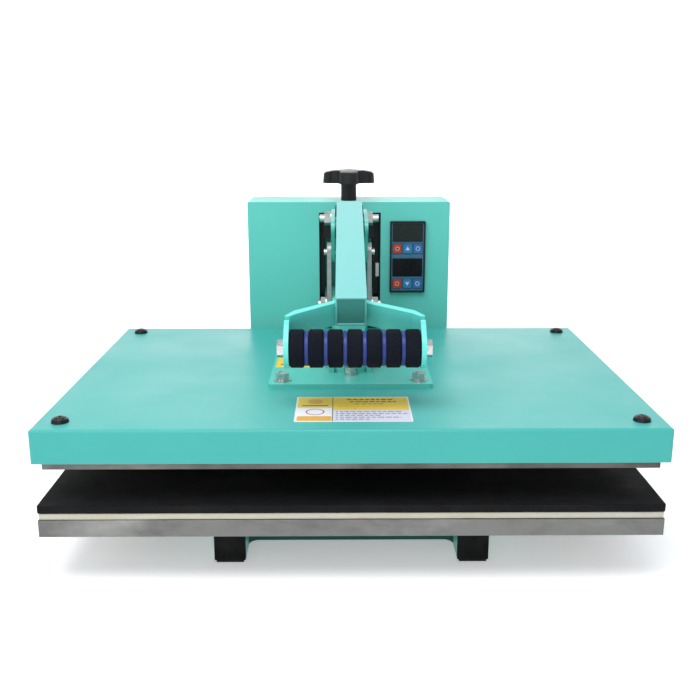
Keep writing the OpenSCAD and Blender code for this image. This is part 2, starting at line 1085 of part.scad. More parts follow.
// Rings of the grip, one after another, with gaps of spacer_w
module grip_row(count, w, r, start) {
    for (i = [0:count - 1])
        translate([start + i * (ring_w + spacer_w), grip_pivot[0], grip_pivot[1]])
            rotate([0, 90, 0])
                rotate_extrude()
                    polygon([
                        [12, 0], [r - 1, 0], [r - 0.3, 0.35], [r, 1], [r, w - 1],
                        [r - 0.3, w - 0.35], [r - 1, w], [12, w]
                    ]);
}

module grip_foam() {
    color("#141516")
        grip_row(grip_rings, ring_w, grip_r, grip_x - grip_l / 2);
}

module grip_spacers() {
    color("#2f4a9c")
        grip_row(grip_rings - 1, spacer_w, grip_r - 2, grip_x - grip_l / 2 + ring_w);
}

// ---- toggle links --------------------------------------------------------

module toggle_links() {
    color("#8a8f90")
        both_sides()
            difference() {
                slab_x(link_x, link_t)
                    tapered_bar_2d(mid_pivot, 12, low_pivot, 14);
                rod_x(link_x - 1, link_t + 2, 4 + run_fit, mid_pivot);
                rod_x(link_x - 1, link_t + 2, open_r, low_pivot);
            }
}

// ---- arm -----------------------------------------------------------------

module arm_tube() {
    front = float_pivot[0];
    mid_z = arm_pivot[1];
    color(green)
        difference() {
            union() {
                translate([0, front, mid_z - arm_h / 2])
                    tube_y(arm_w, arm_h, arm_pivot[0] - 8 - front, tube_wall);
                rod_x(-arm_w / 2, arm_w, arm_h / 2, float_pivot);
                translate([-arm_w / 2 + 1, front, mid_z - arm_h / 2 + 1])
                    cube([arm_w - 2, 16, arm_h - 2]);
            }
            rod_x(-arm_w, 2 * arm_w, float_r + run_fit, float_pivot);
            rod_x(-arm_w, 2 * arm_w, barrel_r, arm_pivot);
        }
}

// Ears on the arm's sides that hold the toggle's lower bolts
module arm_ears() {
    foot = [375, 186];
    toe = [325, 184];
    color(green)
        both_sides()
            difference() {
                slab_x(arm_w / 2, crank_t)
                    three_lobe_2d(low_pivot, 14.5, foot, 12, toe, 10);
                rod_x(arm_w / 2 - 1, crank_t + 2, pivot_r, low_pivot);
            }
}

module arm_barrel() {
    color(green)
        difference() {
            rod_x(-cheek_x + 0.3, 2 * cheek_x - 0.6, barrel_r, arm_pivot);
            rod_x(-cheek_x - 1, 2 * cheek_x + 2, arm_pin_r + run_fit, arm_pivot);
        }
}

// Bolts of the open pivot: each is fixed in its ear and passes the link's wide hole
module toggle_lower_bolts() {
    ear_out = arm_w / 2 + crank_t;
    head = link_x + link_t + 0.4;
    color(steel)
        both_sides() {
            rod_x(arm_w / 2 + 0.1, 40 - arm_w / 2, pivot_r, low_pivot);
            rod_x(head, 1.8, 10, low_pivot);
            hex_x(head + 1.7, 6.4, nut_across, low_pivot);
        }
}

// ---- platen --------------------------------------------------------------

// Bracket plate with a round foot and two lugs for the arm's nose
module platen_clevis() {
    lug_x = arm_w / 2 + 0.3;
    lug_t = 6;
    bolt_y = [bracket_y + bracket_bolt_inset, bracket_y + bracket_d - bracket_bolt_inset];
    color(green)
        difference() {
            union() {
                translate([0, bracket_y + bracket_d / 2, cover_top])
                    linear_extrude(bracket_t)
                        round_rect_2d(bracket_w, bracket_d, 4);
                translate([0, float_pivot[0], bracket_top - eps])
                    cylinder(h = 7, r = 24.3);
                both_sides()
                    slab_x(lug_x, lug_t)
                        tapered_bar_2d(float_pivot, 14, [float_pivot[0], bracket_top + 14.3], 14.3);
                both_sides()
                    slab_x(lug_x, lug_t)
                        translate([float_pivot[0] - 22, bracket_top - eps])
                            square([44, 6]);
            }
            both_sides()
                rod_x(lug_x - 1, lug_t + 2, float_r, float_pivot);
            for (side = [-1, 1], y = bolt_y)
                translate([side * bracket_bolt_x, y, cover_top - 1])
                    cylinder(h = 8, r = bracket_hole_r);
            translate([0, level_bolt_y, cover_top - 1])
                cylinder(h = 8, r = bracket_hole_r);
            // room for the levelling bolt's head beside the boss
            translate([0, level_bolt_y, bracket_top])
                cylinder(h = 8, r = 7.6);
        }
}

module clevis_pin() {
    out = arm_w / 2 + 6.3;
    color(steel) {
        rod_x(-out - 9, 2 * out + 10, float_r, float_pivot);
        hex_x(out + 0.1, 7.5, 18, float_pivot);
        hex_x(-out - 8.1, 8, 18, float_pivot);
    }
}

// Bolts that hold the bracket, and the levelling bolt in front of the clevis
module cover_bolts() {
    color(steel) {
        for (side = [-1, 1], y = [bracket_bolt_inset, bracket_d - bracket_bolt_inset])
            translate([side * bracket_bolt_x, bracket_y + y, bracket_top])
                rotate([0, 0, side * 11])
                    flange_bolt(20, washer = 9.7);
        translate([0, level_bolt_y, bracket_top])
            rotate([0, 0, 30])
                flange_bolt(5, across = 12, washer = 7);
    }
}

// Where the heater lead leaves the cover: origin on the rear wall, Z out to the back
module on_cover_back() {
    translate([cover_gland_x, cover_d, cover_z + 14])
        rotate([-90, 0, 0])
            children();
}

module cover_lead_gland() {
    color(black)
        on_cover_back()
            gland(sheet);
}

function post_places() = concat(
    [for (x = [-1, 1], y = [cover_screw_inset, cover_d - cover_screw_inset - 2]) [x * cover_screw_x, y]],
    [for (x = [-1, 1], y = [bracket_bolt_inset, bracket_d - bracket_bolt_inset])
        [x * bracket_bolt_x, bracket_y + y]]
);

module heater_cover() {
    color(mint)
        difference() {
            translate([0, cover_d / 2, cover_z])
                soft_block(cover_w, cover_d, cover_h, cover_r);
            translate([0, cover_d / 2, cover_z - 1])
                soft_block(cover_w - 2 * sheet, cover_d - 2 * sheet, cover_h - sheet + 1, cover_r - sheet);
            for (p = post_places())
                translate([p[0], p[1], cover_top - 5])
                    cylinder(h = 8, r = bracket_hole_r);
            on_cover_back()
                translate([0, 0, -5])
                    cylinder(h = 8, r = gland_r + 0.1);
        }
}

module cover_screws() {
    color(black)
        for (i = [0:3])
            translate([post_places()[i][0], post_places()[i][1], cover_top])
                rotate([0, 0, 20 + 35 * i])
                    cup_screw(8.8, 6, 16, 2.5);
}

module heating_platen() {
    color(steel)
        difference() {
            translate([-platen_w / 2, platen_y, platen_z])
                cube([platen_w, platen_d, platen_t]);
            // groove of the temperature probe
            translate([-3, platen_y + 20, platen_z + platen_t - 4])
                cube([6, platen_d, 5]);
        }
}

// Rod elements clamped on the platen and joined at their ends by square connectors
module heater_element() {
    runs = 6;
    pitch = (platen_d - 60) / (runs - 1);
    reach = platen_w / 2 - 60;
    rod_r = 4;
    joint_w = 10;
    color("#6d6a66")
        translate([0, platen_y + 30, platen_z + platen_t])
            for (i = [0:runs - 1]) {
                translate([-reach, i * pitch, rod_r])
                    rotate([0, 90, 0])
                        cylinder(h = 2 * reach, r = rod_r);
                if (i < runs - 1)
                    translate([i % 2 == 0 ? reach - joint_w : -reach, i * pitch - joint_w / 2, 0])
                        cube([joint_w, pitch + joint_w, 2 * rod_r + 0.1]);
            }
}

module heater_insulation() {
    z = platen_z + platen_t + 8.2;
    color("#e6dfcb")
        difference() {
            translate([-platen_w / 2 + 2, platen_y + 2, z])
                cube([platen_w - 4, platen_d - 4, cover_top - sheet - 0.3 - z]);
            for (p = post_places())
                translate([p[0], p[1], z - 1])
                    cylinder(h = 40, r = 10);
            translate([cover_gland_x - 12, platen_y + platen_d - 20, z - 1])
                cube([24, 30, 40]);
        }
}

// Posts between the platen and the cover's underside
module cover_posts() {
    z = platen_z + platen_t;
    h = cover_top - sheet - z;
    color(steel)
        for (i = [0:7])
            translate([post_places()[i][0], post_places()[i][1], z])
                difference() {
                    cylinder(h = h, r = 8);
                    translate([0, 0, h - 18])
                        cylinder(h = 19, r = i < 4 ? 2.5 : 4);
                }
}

placed() rail_left();
placed() rail_right();
placed() cross_front();
placed() cross_rear();
placed() rail_plugs();
placed() foot_pads();
placed() rear_base_plate();
placed() lower_table();
placed() table_felt();
placed() press_pad();
placed() upright_left();
placed() upright_right();
placed() bridge_plate();
placed() upright_bolts();
placed() control_box();
placed() box_back_panel();
placed() box_panel_screws();
placed() box_electrics();
placed() controller_bezel();
placed() controller_panel();
placed() upper_display();
placed() lower_display();
placed() key_red_upper();
placed() key_pale_upper();
placed() key_blue_upper();
placed() key_red_lower();
placed() key_pale_lower();
placed() key_blue_lower();
placed() switch_rocker();
placed() switch_frame();
placed() mains_inlet();
placed() fuse_holder();
placed() box_lead_gland();
placed() pressure_knob();
placed() pressure_screw();
placed() head_carriage();
placed() arm_hinge_pin();
placed() lever_tube();
placed() crank_plates();
placed() lever_pins();
placed() handle_yoke();
placed() handle_axle();
placed() grip_core();
placed() grip_foam();
placed() grip_spacers();
placed() toggle_links();
placed() arm_tube();
placed() arm_ears();
placed() arm_barrel();
placed() toggle_lower_bolts();
placed() platen_clevis();
placed() clevis_pin();
placed() cover_bolts();
placed() heater_cover();
placed() cover_screws();
placed() heating_platen();
placed() heater_element();
placed() heater_insulation();
placed() cover_posts();
placed() cover_lead_gland();
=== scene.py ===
import math

import bmesh
import bpy
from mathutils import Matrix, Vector, noise


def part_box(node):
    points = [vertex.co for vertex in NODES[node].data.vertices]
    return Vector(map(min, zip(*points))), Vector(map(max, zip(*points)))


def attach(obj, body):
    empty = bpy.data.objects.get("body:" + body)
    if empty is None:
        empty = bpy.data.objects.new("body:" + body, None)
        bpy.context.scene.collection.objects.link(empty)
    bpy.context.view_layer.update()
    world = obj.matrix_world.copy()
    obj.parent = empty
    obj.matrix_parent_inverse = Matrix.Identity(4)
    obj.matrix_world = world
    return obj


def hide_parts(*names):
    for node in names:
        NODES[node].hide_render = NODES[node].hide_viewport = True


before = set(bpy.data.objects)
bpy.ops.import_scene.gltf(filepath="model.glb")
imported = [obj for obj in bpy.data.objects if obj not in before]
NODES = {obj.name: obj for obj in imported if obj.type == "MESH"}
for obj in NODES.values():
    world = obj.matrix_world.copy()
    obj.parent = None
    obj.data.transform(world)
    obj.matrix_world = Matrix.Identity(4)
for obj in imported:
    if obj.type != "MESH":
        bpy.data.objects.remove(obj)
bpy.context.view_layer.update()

MM = 0.001
MINT = (0.098, 0.53, 0.455)


# ---- node helpers ---------------------------------------------------------

class Look:
    """A Principled material with small procedural layers added one at a time."""

    def __init__(self, name, color, rough, metallic=0.0, coat=0.0, specular=0.5):
        self.mat = bpy.data.materials.new("look_" + name)
        self.mat.use_nodes = True
        self.tree = self.mat.node_tree
        self.bsdf = self.tree.nodes["Principled BSDF"]
        self.bsdf.inputs["Metallic"].default_value = metallic
        self.bsdf.inputs["Roughness"].default_value = rough
        self.bsdf.inputs["Coat Weight"].default_value = coat
        self.bsdf.inputs["Coat Roughness"].default_value = 0.12
        self.bsdf.inputs["Specular IOR Level"].default_value = specular
        self.bsdf.inputs["Base Color"].default_value = (*color, 1)
        self.color = None
        self.base = (*color, 1)
        self.height = None
        coords = self.tree.nodes.new("ShaderNodeTexCoord")
        self.coords = coords.outputs["Object"]

    def link(self, a, b):
        self.tree.links.new(a, b)

    def node(self, kind, **values):
        n = self.tree.nodes.new(kind)
        for k, v in values.items():
            setattr(n, k, v)
        return n

    def noise(self, scale, detail=4.0, rough=0.55, stretch=(1, 1, 1), turn=(0, 0, 0)):
        mapping = self.node("ShaderNodeMapping")
        mapping.inputs["Scale"].default_value = stretch
        mapping.inputs["Rotation"].default_value = turn
        self.link(self.coords, mapping.inputs["Vector"])
        n = self.node("ShaderNodeTexNoise")
        n.inputs["Scale"].default_value = scale
        n.inputs["Detail"].default_value = detail
        n.inputs["Roughness"].default_value = rough
        self.link(mapping.outputs[0], n.inputs["Vector"])
        return n.outputs["Fac"]

    def voronoi(self, scale):
        n = self.node("ShaderNodeTexVoronoi")
        n.inputs["Scale"].default_value = scale
        self.link(self.coords, n.inputs["Vector"])
        return n.outputs["Distance"]

    def band(self, fac, low, high, to_low=0.0, to_high=1.0):
        n = self.node("ShaderNodeMapRange", clamp=True)
        for i, v in zip((1, 2, 3, 4), (low, high, to_low, to_high)):
            n.inputs[i].default_value = v
        self.link(fac, n.inputs[0])
        return n.outputs[0]

    def mix_color(self, fac, color):
        """Blends the base colour towards color where fac is high."""
        n = self.node("ShaderNodeMix", data_type="RGBA")
        self.link(fac, n.inputs[0])
        if self.color is None:
            n.inputs[6].default_value = self.base
        else:
            self.link(self.color, n.inputs[6])
        n.inputs[7].default_value = (*color, 1)
        self.color = n.outputs[2]
        self.link(self.color, self.bsdf.inputs["Base Color"])
        return self

    def vary_rough(self, fac, low, high):
        self.link(self.band(fac, 0.3, 0.7, low, high), self.bsdf.inputs["Roughness"])
        return self

    def bump(self, fac, strength, distance):
        n = self.node("ShaderNodeBump")
        n.inputs["Strength"].default_value = strength
        n.inputs["Distance"].default_value = distance
        self.link(fac, n.inputs["Height"])
        if self.height is not None:
            self.link(self.height, n.inputs["Normal"])
        self.height = n.outputs["Normal"]
        self.link(self.height, self.bsdf.inputs["Normal"])
        return self


def enamel(name, color, rough=0.30, coat=0.1, specular=0.5):
    m = Look(name, color, rough, coat=coat, specular=specular)
    # slow drift of tone and faint handling smudges
    pale = tuple(min(1.0, c * 1.08 + 0.012) for c in color)
    deep = tuple(c * 0.93 for c in color)
    m.mix_color(m.band(m.noise(3.2, 3), 0.30, 0.80, 0.0, 0.6), pale)
    m.mix_color(m.band(m.noise(11.0, 6, 0.7), 0.40, 0.85, 0.0, 0.6), deep)
    m.vary_rough(m.noise(6.0, 6, 0.65), rough * 0.8, rough * 1.3)
    m.bump(m.noise(260.0, 2), 0.02, 0.0002)
    m.bump(m.noise(24.0, 2), 0.03, 0.0015)
    return m.mat


def brushed(name, color, rough, stretch, streak=900.0):
    """Milled plate: fine lines, dark handling stains and bright patches of painted reflection."""
    m = Look(name, color, rough, metallic=1.0)
    lines = m.noise(streak, 3, 0.6, stretch)
    blotch = m.noise(16.0, 6, 0.72, (0.7, 0.7, 1.6))
    reflection_patch = m.noise(8.0, 4, 0.6, (0.8, 0.8, 1.2), (0, 0.12, 0.0))
    m.mix_color(m.band(blotch, 0.46, 0.70, 0.0, 0.75), tuple(c * 0.55 for c in color))
    m.mix_color(m.band(m.noise(55.0, 5), 0.60, 0.75, 0.0, 0.35), (0.20, 0.17, 0.12))
    # painted reflection: bright patches in the colour stand for the room's light on the metal
    m.mix_color(m.band(reflection_patch, 0.54, 0.76, 0.0, 0.7), tuple(min(1.0, c * 2.3) for c in color))
    m.mix_color(m.band(lines, 0.35, 0.65, 0.0, 0.35), tuple(c * 0.8 for c in color))
    m.vary_rough(blotch, rough * 0.8, rough * 1.6)
    m.bump(lines, 0.18, 0.0003)
    return m.mat


def steel(name, color, rough=0.26):
    m = Look(name, color, rough, metallic=1.0)
    m.mix_color(m.band(m.noise(160.0, 5), 0.5, 0.7, 0.0, 0.55), tuple(c * 0.7 for c in color))
    m.mix_color(m.band(m.noise(60.0, 4), 0.6, 0.8, 0.0, 0.5), (0.42, 0.37, 0.30))
    m.vary_rough(m.noise(200.0, 4), rough * 0.8, rough * 1.7)
    m.bump(m.noise(900.0, 3), 0.10, 0.0002)
    return m.mat


def plastic(name, color, rough=0.42, grain=1400.0, deep=0.7):
    m = Look(name, color, rough, specular=0.32)
    m.mix_color(m.band(m.noise(40.0, 4), 0.45, 0.8, 0.0, 0.5), tuple(c * deep for c in color))
    dust = tuple(min(1, c * 1.6 + 0.03) for c in color)
    m.mix_color(m.band(m.noise(260.0, 3), 0.70, 0.80, 0.0, 0.35), dust)
    m.vary_rough(m.noise(75.0, 5), rough * 0.85, rough * 1.25)
    m.bump(m.noise(grain, 2), 0.14, 0.0003)
    return m.mat


def glossy(name, color, rough=0.1):
    m = Look(name, color, rough, specular=0.12)
    m.mix_color(m.band(m.noise(30.0, 3), 0.4, 0.8, 0.0, 0.4), tuple(c * 0.7 + 0.002 for c in color))
    m.mix_color(m.band(m.noise(700.0, 2), 0.72, 0.78, 0.0, 0.25), (0.30, 0.31, 0.32))
    m.vary_rough(m.noise(45.0, 5), rough * 0.7, rough * 2.2)
    m.bump(m.noise(60.0, 2), 0.03, 0.0006)
    return m.mat


def rubber_foam(name, color, rough, cell, depth):
    m = Look(name, color, rough, specular=0.18)
    cells = m.voronoi(cell)
    m.mix_color(m.band(m.noise(35.0, 5), 0.45, 0.75, 0.0, 0.6), tuple(c * 1.9 + 0.004 for c in color))
    m.mix_color(m.band(cells, 0.55, 0.85, 0.0, 0.5), tuple(c * 2.4 + 0.006 for c in color))
    m.vary_rough(m.noise(18.0, 5), rough * 0.85, min(1.0, rough * 1.1))
    m.bump(cells, 0.45, depth)
    m.bump(m.noise(cell * 0.2, 4), 0.35, depth * 2)
    return m.mat


def fibre(name, color, rough=0.95):
    m = Look(name, color, rough, specular=0.15)
    m.bsdf.inputs["Sheen Weight"].default_value = 0.35
    strands = m.noise(900.0, 6, 0.75, (1, 1, 3.5))
    m.mix_color(m.band(strands, 0.42, 0.62, 0.0, 0.5), tuple(c * 0.74 for c in color))
    aged = tuple(c * k for c, k in zip(color, (0.86, 0.78, 0.6)))
    m.mix_color(m.band(m.noise(14.0, 5), 0.5, 0.75, 0.0, 0.45), aged)
    m.vary_rough(m.noise(300.0, 3), 0.85, 1.0)
    m.bump(strands, 0.6, 0.0006)
    return m.mat


LOOKS = {
    "mint_paint": enamel("mint_paint", MINT),
    "green_paint": enamel("green_paint", tuple(c * 0.97 for c in MINT), 0.34, 0.08),
    "dark_paint": plastic("dark_paint", (0.006, 0.008, 0.008), 0.5, 700.0),
    "aluminium": brushed("aluminium", (0.20, 0.20, 0.19), 0.36, (0.35, 0.35, 6)),
    "zinc_steel": steel("zinc_steel", (0.62, 0.62, 0.60)),
    "grey_steel": steel("grey_steel", (0.36, 0.39, 0.38), 0.4),
    "element_steel": steel("element_steel", (0.22, 0.20, 0.18), 0.5),
    "black_plastic": plastic("black_plastic", (0.008, 0.009, 0.010), 0.34),
    "black_screw": plastic("black_screw", (0.010, 0.010, 0.011), 0.34, 900.0),
    "foot_rubber": plastic("foot_rubber", (0.012, 0.012, 0.012), 0.75, 500.0),
    "silicone": rubber_foam("silicone", (0.0028, 0.0030, 0.0034), 0.78, 900.0, 0.0004),
    "felt": fibre("felt", (0.60, 0.57, 0.47)),
    "insulation": fibre("insulation", (0.70, 0.68, 0.62)),
    "foam": rubber_foam("foam", (0.0020, 0.0034, 0.0075), 0.92, 1300.0, 0.0004),
    "blue_spacer": plastic("blue_spacer", (0.020, 0.042, 0.20), 0.34),
    "panel_blue": plastic("panel_blue", (0.038, 0.138, 0.235), 0.3, 1800.0),
    "display_grey": glossy("display_grey", (0.020, 0.024, 0.024), 0.22),
    "display_black": glossy("display_black", (0.003, 0.004, 0.0055), 0.18),
    "key_red": plastic("key_red", (0.42, 0.055, 0.030), 0.35),
    "key_pale": plastic("key_pale", (0.030, 0.19, 0.42), 0.35),
    "key_blue": plastic("key_blue", (0.030, 0.14, 0.36), 0.35),
    "rocker_red": plastic("rocker_red", (0.38, 0.025, 0.02), 0.25),
    "relay_plastic": plastic("relay_plastic", (0.55, 0.54, 0.50), 0.4),
}


def mint(r, g, b):
    """The paint's colour with each channel scaled."""
    return tuple(c * k for c, k in zip(MINT, (r, g, b)))


# parts whose tone differs from the others of their slot: the rail plugs have a matte finish; the others
# are lighter or darker copies of their slot's look, which is painted light and painted shade
PART_LOOKS_AND_PAINTED_LIGHT = {
    "rail_plugs": plastic("black_matte", (0.0045, 0.005, 0.005), 0.75, 900.0),
    # painted shade: the cover's paint is darker than the mint
    "heater_cover": enamel("mint_cover_painted_shade", mint(0.54, 0.75, 0.79), 0.36, 0.0, 0.28),
    # painted light: the box, the handle yoke and the lever tube are lighter and bluer than the mint
    "control_box": enamel("mint_box_painted_light", mint(1.25, 1.08, 1.10), 0.36, 0.0, 0.3),
    "handle_yoke": enamel("mint_handle_painted_light", mint(1.20, 1.28, 1.34), 0.34, 0.06),
    "lever_tube": enamel("mint_lever_painted_light", mint(1.55, 1.0, 1.12)),
    # painted shade: the platen's aluminium is darker than the table's
    "heating_platen": brushed("platen_alu_painted_shade", (0.15, 0.145, 0.135), 0.40, (0.35, 0.35, 6)),
    # painted shade: the cross tube is dark as it lies under the table
    "cross_front": enamel("green_shaded", mint(0.22, 0.22, 0.22), 0.7, 0.0, 0.1),
}
PART_LOOKS_AND_PAINTED_LIGHT["rail_plugs"].node_tree.nodes["Principled BSDF"].inputs["Specular IOR Level"].default_value = 0.2
INK = {
    "label_yellow": plastic("label_yellow", (0.82, 0.56, 0.035), 0.32, 1500.0, 0.88),
    "label_white": plastic("label_white", (0.78, 0.77, 0.80), 0.32, 1500.0, 0.93),
    "label_lilac": plastic("label_lilac", (0.62, 0.61, 0.72), 0.32, 1500.0, 0.93),
    "label_orange": plastic("label_orange", (0.72, 0.36, 0.02), 0.32, 1500.0, 0.85),
    "label_ink": plastic("label_ink", (0.16, 0.13, 0.07), 0.4, 1500.0),
    "label_red": plastic("label_red", (0.42, 0.05, 0.06), 0.4, 1500.0),
    "panel_line": plastic("panel_line", (0.11, 0.20, 0.24), 0.4, 1500.0, 0.9),
    "icon_pale": plastic("icon_pale", (0.50, 0.62, 0.72), 0.4, 1500.0, 0.9),
    "icon_warm": plastic("icon_warm", (0.85, 0.45, 0.32), 0.4, 1500.0, 0.9),
}

for node, obj in NODES.items():
    slot = obj.data.materials[0].name.split(".")[0]
    for s in obj.material_slots:
        s.link = "OBJECT"
        s.material = PART_LOOKS_AND_PAINTED_LIGHT.get(node, LOOKS[slot])


# ---- mesh helpers ---------------------------------------------------------

def piece(name, verts, faces, look, body, smooth=True):
    mesh = bpy.data.meshes.new(name)
    mesh.from_pydata([tuple(v) for v in verts], [], faces)
    mesh.validate()
    bm = bmesh.new()
    bm.from_mesh(mesh)
    bmesh.ops.recalc_face_normals(bm, faces=bm.faces)
    bm.to_mesh(mesh)
    bm.free()
    mesh.polygons.foreach_set("use_smooth", [smooth] * len(mesh.polygons))
    mesh.materials.append(look)
    obj = bpy.data.objects.new(name, mesh)
    bpy.context.scene.collection.objects.link(obj)
    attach(obj, body)
    return obj


def rounded_loop(w, d, r, steps=8, along=28):
    """Points of a rounded rectangle, the same number whatever its size."""
    r = max(0.0002, min(r, w / 2 - 0.0001, d / 2 - 0.0001))
    pts = []
    corners = ((w / 2 - r, d / 2 - r, 0), (-w / 2 + r, d / 2 - r, 90),
               (-w / 2 + r, -d / 2 + r, 180), (w / 2 - r, -d / 2 + r, 270))
    for i, (cx, cy, a) in enumerate(corners):
        for k in range(steps + 1):
            t = math.radians(a + 90 * k / steps)
            pts.append(Vector((cx + r * math.cos(t), cy + r * math.sin(t))))
        nx, ny, na = corners[(i + 1) % 4]
        t = math.radians(na)
        end = Vector((nx + r * math.cos(t), ny + r * math.sin(t)))
        start = pts[-1].copy()
        pts += [start.lerp(end, k / along) for k in range(1, along)]
    return pts


def loft(rings):
    """Quads between closed rings, and a cap on the first and the last."""
    n = len(rings[0])
    verts = [v for ring in rings for v in ring]
    faces = []
    for i in range(len(rings) - 1):
        for k in range(n):
            a, b = i * n + k, i * n + (k + 1) % n
            faces.append((a, b, b + n, a + n))
    faces.append(tuple(range(n - 1, -1, -1)))
    faces.append(tuple((len(rings) - 1) * n + k for k in range(n)))
    return verts, faces


def soft_slab(name, node, look, body, corner, edge, wave, crown, shrink=0.0):
    """A sheet of foam or felt in the CAD solid's box, with soft edges and an uneven side."""
    lo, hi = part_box(node)
    cx, cy = (lo.x + hi.x) / 2, (lo.y + hi.y) / 2
    w, d, h = hi.x - lo.x - 2 * shrink, hi.y - lo.y - 2 * shrink, hi.z - lo.z
    profile = [(120 * MM, 0), (40 * MM, 0), (edge * 1.2, 0)]
    profile += [(edge * (1 - math.sin(math.radians(t))), edge * (1 - math.cos(math.radians(t))))
                for t in (20, 45, 70, 90)]
    profile += [(0, h * 0.35), (0, h * 0.65)]
    profile += [(edge * (1 - math.cos(math.radians(t))), h - edge * (1 - math.sin(math.radians(t))))
                for t in (0, 22, 45, 68, 90)]
    profile += [(edge * 3, h), (15 * MM, h), (40 * MM, h), (90 * MM, h), (150 * MM, h)]
    rings = []
    for inset, z in profile:
        ring = []
        for p in rounded_loop(w - 2 * inset, d - 2 * inset, corner - inset, 8, 60):
            v = Vector((cx + p.x, cy + p.y, lo.z + z))
            side = max(0.0, 1 - inset / (10 * MM))
            n = noise.noise(v * 26) * 0.7 + noise.noise(v * 110) * 0.3
            pull = wave * side * (0.5 + 0.5 * n)
            out = Vector((p.x, p.y)).normalized()
            v.x -= out.x * pull
            v.y -= out.y * pull
            if z > h * 0.6:
                low = crown * (1 - min(1.0, inset / (90 * MM)))
                dip = low * (0.6 + 0.4 * noise.noise(v * 9))
                v.z -= dip + crown * 0.25 * (0.5 + 0.5 * noise.noise(v * 15))
            ring.append(v)
        rings.append(ring)
    verts, faces = loft(rings)
    obj = piece(name, verts, faces, look, body)
    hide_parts(node)
    return obj


def lathe_x(name, centre, profile, look, body, sides=72, rough=0.0):
    """Turns (x, r) points about the X axis through centre. The profile closes on itself."""
    verts = []
    for x, r in profile:
        for k in range(sides):
            t = 2 * math.pi * k / sides
            v = Vector((x, centre.y + r * math.cos(t), centre.z + r * math.sin(t)))
            if rough:
                n = noise.noise(v * 420) * 0.5 + noise.noise(v * 130) * 0.5
                dr = -rough * (0.5 + 0.5 * n)
                v.y += dr * math.cos(t)
                v.z += dr * math.sin(t)
            verts.append(v)
    m = len(profile)
    faces = []
    for i in range(m):
        j = (i + 1) % m
        for k in range(sides):
            q = (k + 1) % sides
            faces.append((i * sides + k, i * sides + q, j * sides + q, j * sides + k))
    return piece(name, verts, faces, look, body)


def bead(name, points, radius, look, body, pitch=1.6 * MM):
    """A painted weld: a low rippled tube along points."""
    pts = [Vector(p) for p in points]
    length = sum((b - a).length for a, b in zip(pts, pts[1:]))
    count = max(8, int(length / pitch * 4))
    stops, along = [], 0.0
    for a, b in zip(pts, pts[1:]):
        step = (b - a).length
        n = max(2, int(count * step / length))
        stops += [(a.lerp(b, i / n), (b - a).normalized(), along + step * i / n) for i in range(n + 1)]
        along += step
    rings = []
    for at, way, s in stops:
        side = way.cross(Vector((0.31, 0.52, 0.79))).normalized()
        up = way.cross(side)
        ends = min(1.0, 0.35 + min(s, length - s) / (1.5 * radius))
        r = radius * ends * (0.86 + 0.14 * abs(math.sin(math.pi * s / pitch)))
        r *= 0.94 + 0.06 * noise.noise(at * 700)
        rings.append([at + side * (r * math.cos(t)) + up * (r * math.sin(t))
                      for t in (2 * math.pi * k / 10 for k in range(10))])
    verts, faces = loft(rings)
    obj = piece(name, verts, faces, look, body)
    return obj


def sheet_mesh(corners, thick, up, corner):
    """Mesh of a thin flat print: corners are its centre, half width and half depth vectors."""
    centre, ax, ay = corners
    w, d = ax.length * 2, ay.length * 2
    ux, uy = ax.normalized(), ay.normalized()
    loops = []
    for inset, h in ((0, 0), (0, thick * 0.7), (thick * 0.3, thick)):
        loops.append([centre + ux * p.x + uy * p.y + up * h
                      for p in rounded_loop(w - 2 * inset, d - 2 * inset, corner, 4, 3)])
    return loft(loops)


def sheet_piece(name, corners, thick, look, body, up, corner=1.0 * MM):
    verts, faces = sheet_mesh(corners, thick, up, corner)
    return piece(name, verts, faces, look, body, smooth=False)


def prism(name, outline, at, ux, uy, up, thick, look, body):
    """A flat shape with a small height, such as an icon, from 2D points."""
    rings = [[at + ux * p[0] + uy * p[1] + up * h for p in outline] for h in (0, thick)]
    verts, faces = loft(rings)
    return piece(name, verts, faces, look, body, smooth=False)


def ring_icon(name, at, r, wall, ux, uy, up, thick, look, body):
    verts, faces, n = [], [], 28
    for radius, h in ((r, 0), (r, thick), (r - wall, thick), (r - wall, 0)):
        for k in range(n):
            t = 2 * math.pi * k / n
            verts.append(at + ux * (radius * math.cos(t)) + uy * (radius * math.sin(t)) + up * h)
    for i in range(4):
        for k in range(n):
            q, j = (k + 1) % n, (i + 1) % 4
            faces.append((i * n + k, i * n + q, j * n + q, j * n + k))
    return piece(name, verts, faces, look, body, smooth=False)


X, Y, Z = Vector((1, 0, 0)), Vector((0, 1, 0)), Vector((0, 0, 1))
FRONT = Vector((0, -1, 0))


# ---- edges of the lever tube, the rails, the platen and the table ---------

def soften(node, width, angle=35):
    obj = NODES[node]
    weld = obj.modifiers.new("Weld", "WELD")
    weld.merge_threshold = 0.00002
    bevel = obj.modifiers.new("Bevel", "BEVEL")
    bevel.width = width
    bevel.segments = 2
    bevel.limit_method = "ANGLE"
    bevel.angle_limit = math.radians(angle)
    bevel.harden_normals = True


for name in ("lever_tube", "rail_left", "rail_right", "heating_platen", "lower_table"):
    soften(name, 0.5 * MM)


# ---- soft pieces ----------------------------------------------------------

pad = soft_slab("pad_foam", "press_pad", LOOKS["silicone"], "base", 3 * MM, 1.0 * MM, 0.8 * MM, 0.5 * MM)
felt = soft_slab("felt_sheet", "table_felt", LOOKS["felt"], "base", 2 * MM, 0.9 * MM, 0.9 * MM, 0.0)
blanket = soft_slab("wool_blanket", "heater_insulation", LOOKS["insulation"], "platen",
                    6 * MM, 3 * MM, 2.0 * MM, 0.6 * MM, shrink=0.5 * MM)

